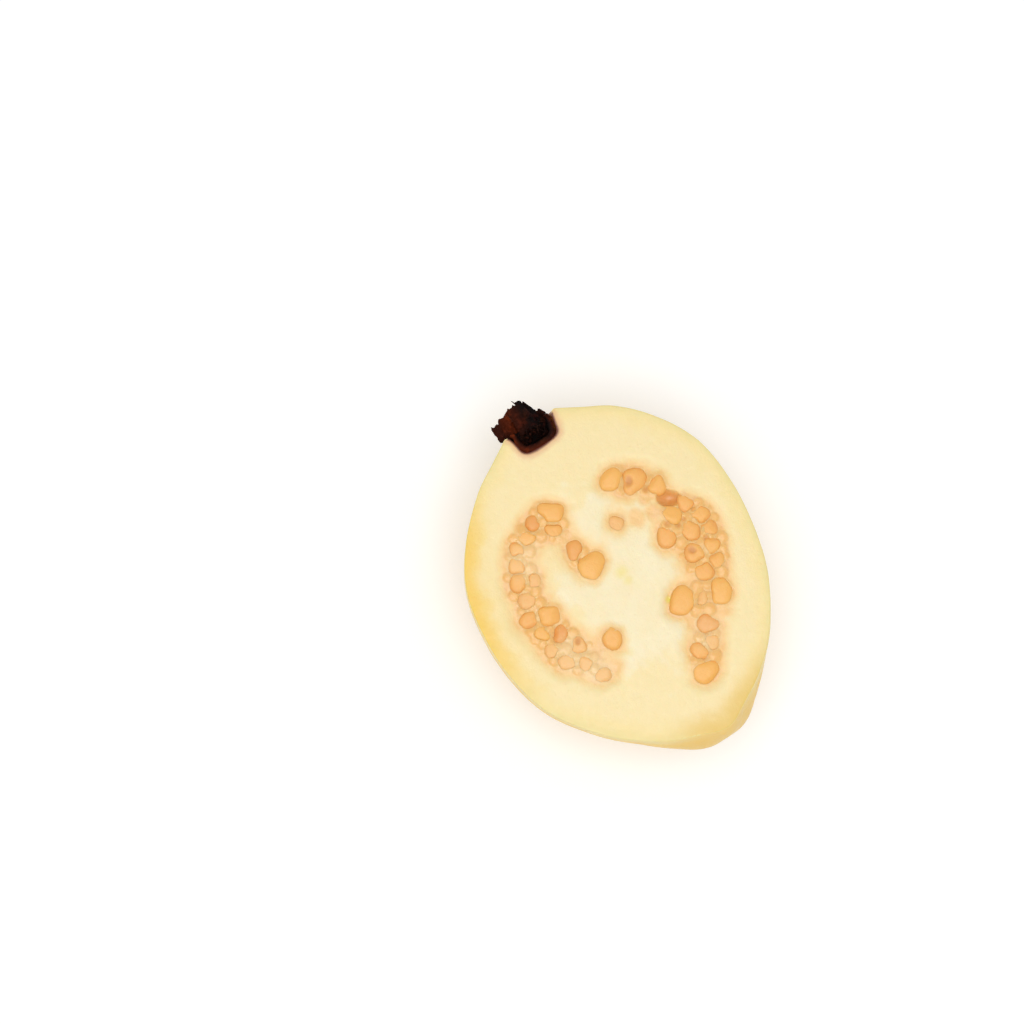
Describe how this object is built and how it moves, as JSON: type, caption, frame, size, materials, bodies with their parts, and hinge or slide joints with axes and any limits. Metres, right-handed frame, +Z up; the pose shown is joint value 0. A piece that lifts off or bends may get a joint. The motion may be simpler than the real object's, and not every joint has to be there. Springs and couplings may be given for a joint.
{
  "type": "guava half",
  "caption": "Half a guava, cut lengthwise and lying on its round back: pale flesh with hard round seeds up, a dried dark calyx at the top end and a stem nub at the other.",
  "frame": {"origin": "middle of the small flat spot on the round back that the half rests on", "axes": "+Z up, square to the cut face; +Y along the fruit from its stem nub to its calyx; +X to the right of the cut face seen from above with the calyx away from the viewer"},
  "size_m": [0.0621, 0.0831, 0.0307],
  "materials": {
    "fruit": "moist cream-yellow flesh under a thin smooth yellow skin",
    "seed": "wet, orange-ochre, hard and round",
    "calyx": "dried, dark brown to black, papery"
  },
  "bodies": {
    "root": {"fruit_half": "fruit", "calyx_cup": "calyx", "sepal_1": "calyx", "sepal_2": "calyx", "sepal_3": "calyx", "sepal_4": "calyx", "seed_01": "seed", "seed_02": "seed", "seed_03": "seed", "seed_04": "seed", "seed_05": "seed", "seed_06": "seed", "seed_07": "seed", "seed_08": "seed", "seed_09": "seed", "seed_10": "seed", "seed_11": "seed", "seed_12": "seed", "seed_13": "seed", "seed_14": "seed", "seed_15": "seed", "seed_16": "seed", "seed_17": "seed", "seed_18": "seed", "seed_19": "seed", "seed_20": "seed", "seed_21": "seed", "seed_22": "seed", "seed_23": "seed", "seed_24": "seed", "seed_25": "seed", "seed_26": "seed", "seed_27": "seed", "seed_28": "seed", "seed_29": "seed", "seed_30": "seed", "seed_31": "seed", "seed_32": "seed", "seed_33": "seed", "seed_34": "seed", "seed_35": "seed", "seed_36": "seed", "seed_37": "seed", "seed_38": "seed", "seed_39": "seed", "seed_40": "seed", "seed_41": "seed", "seed_42": "seed"}
  },
  "joints": []
}
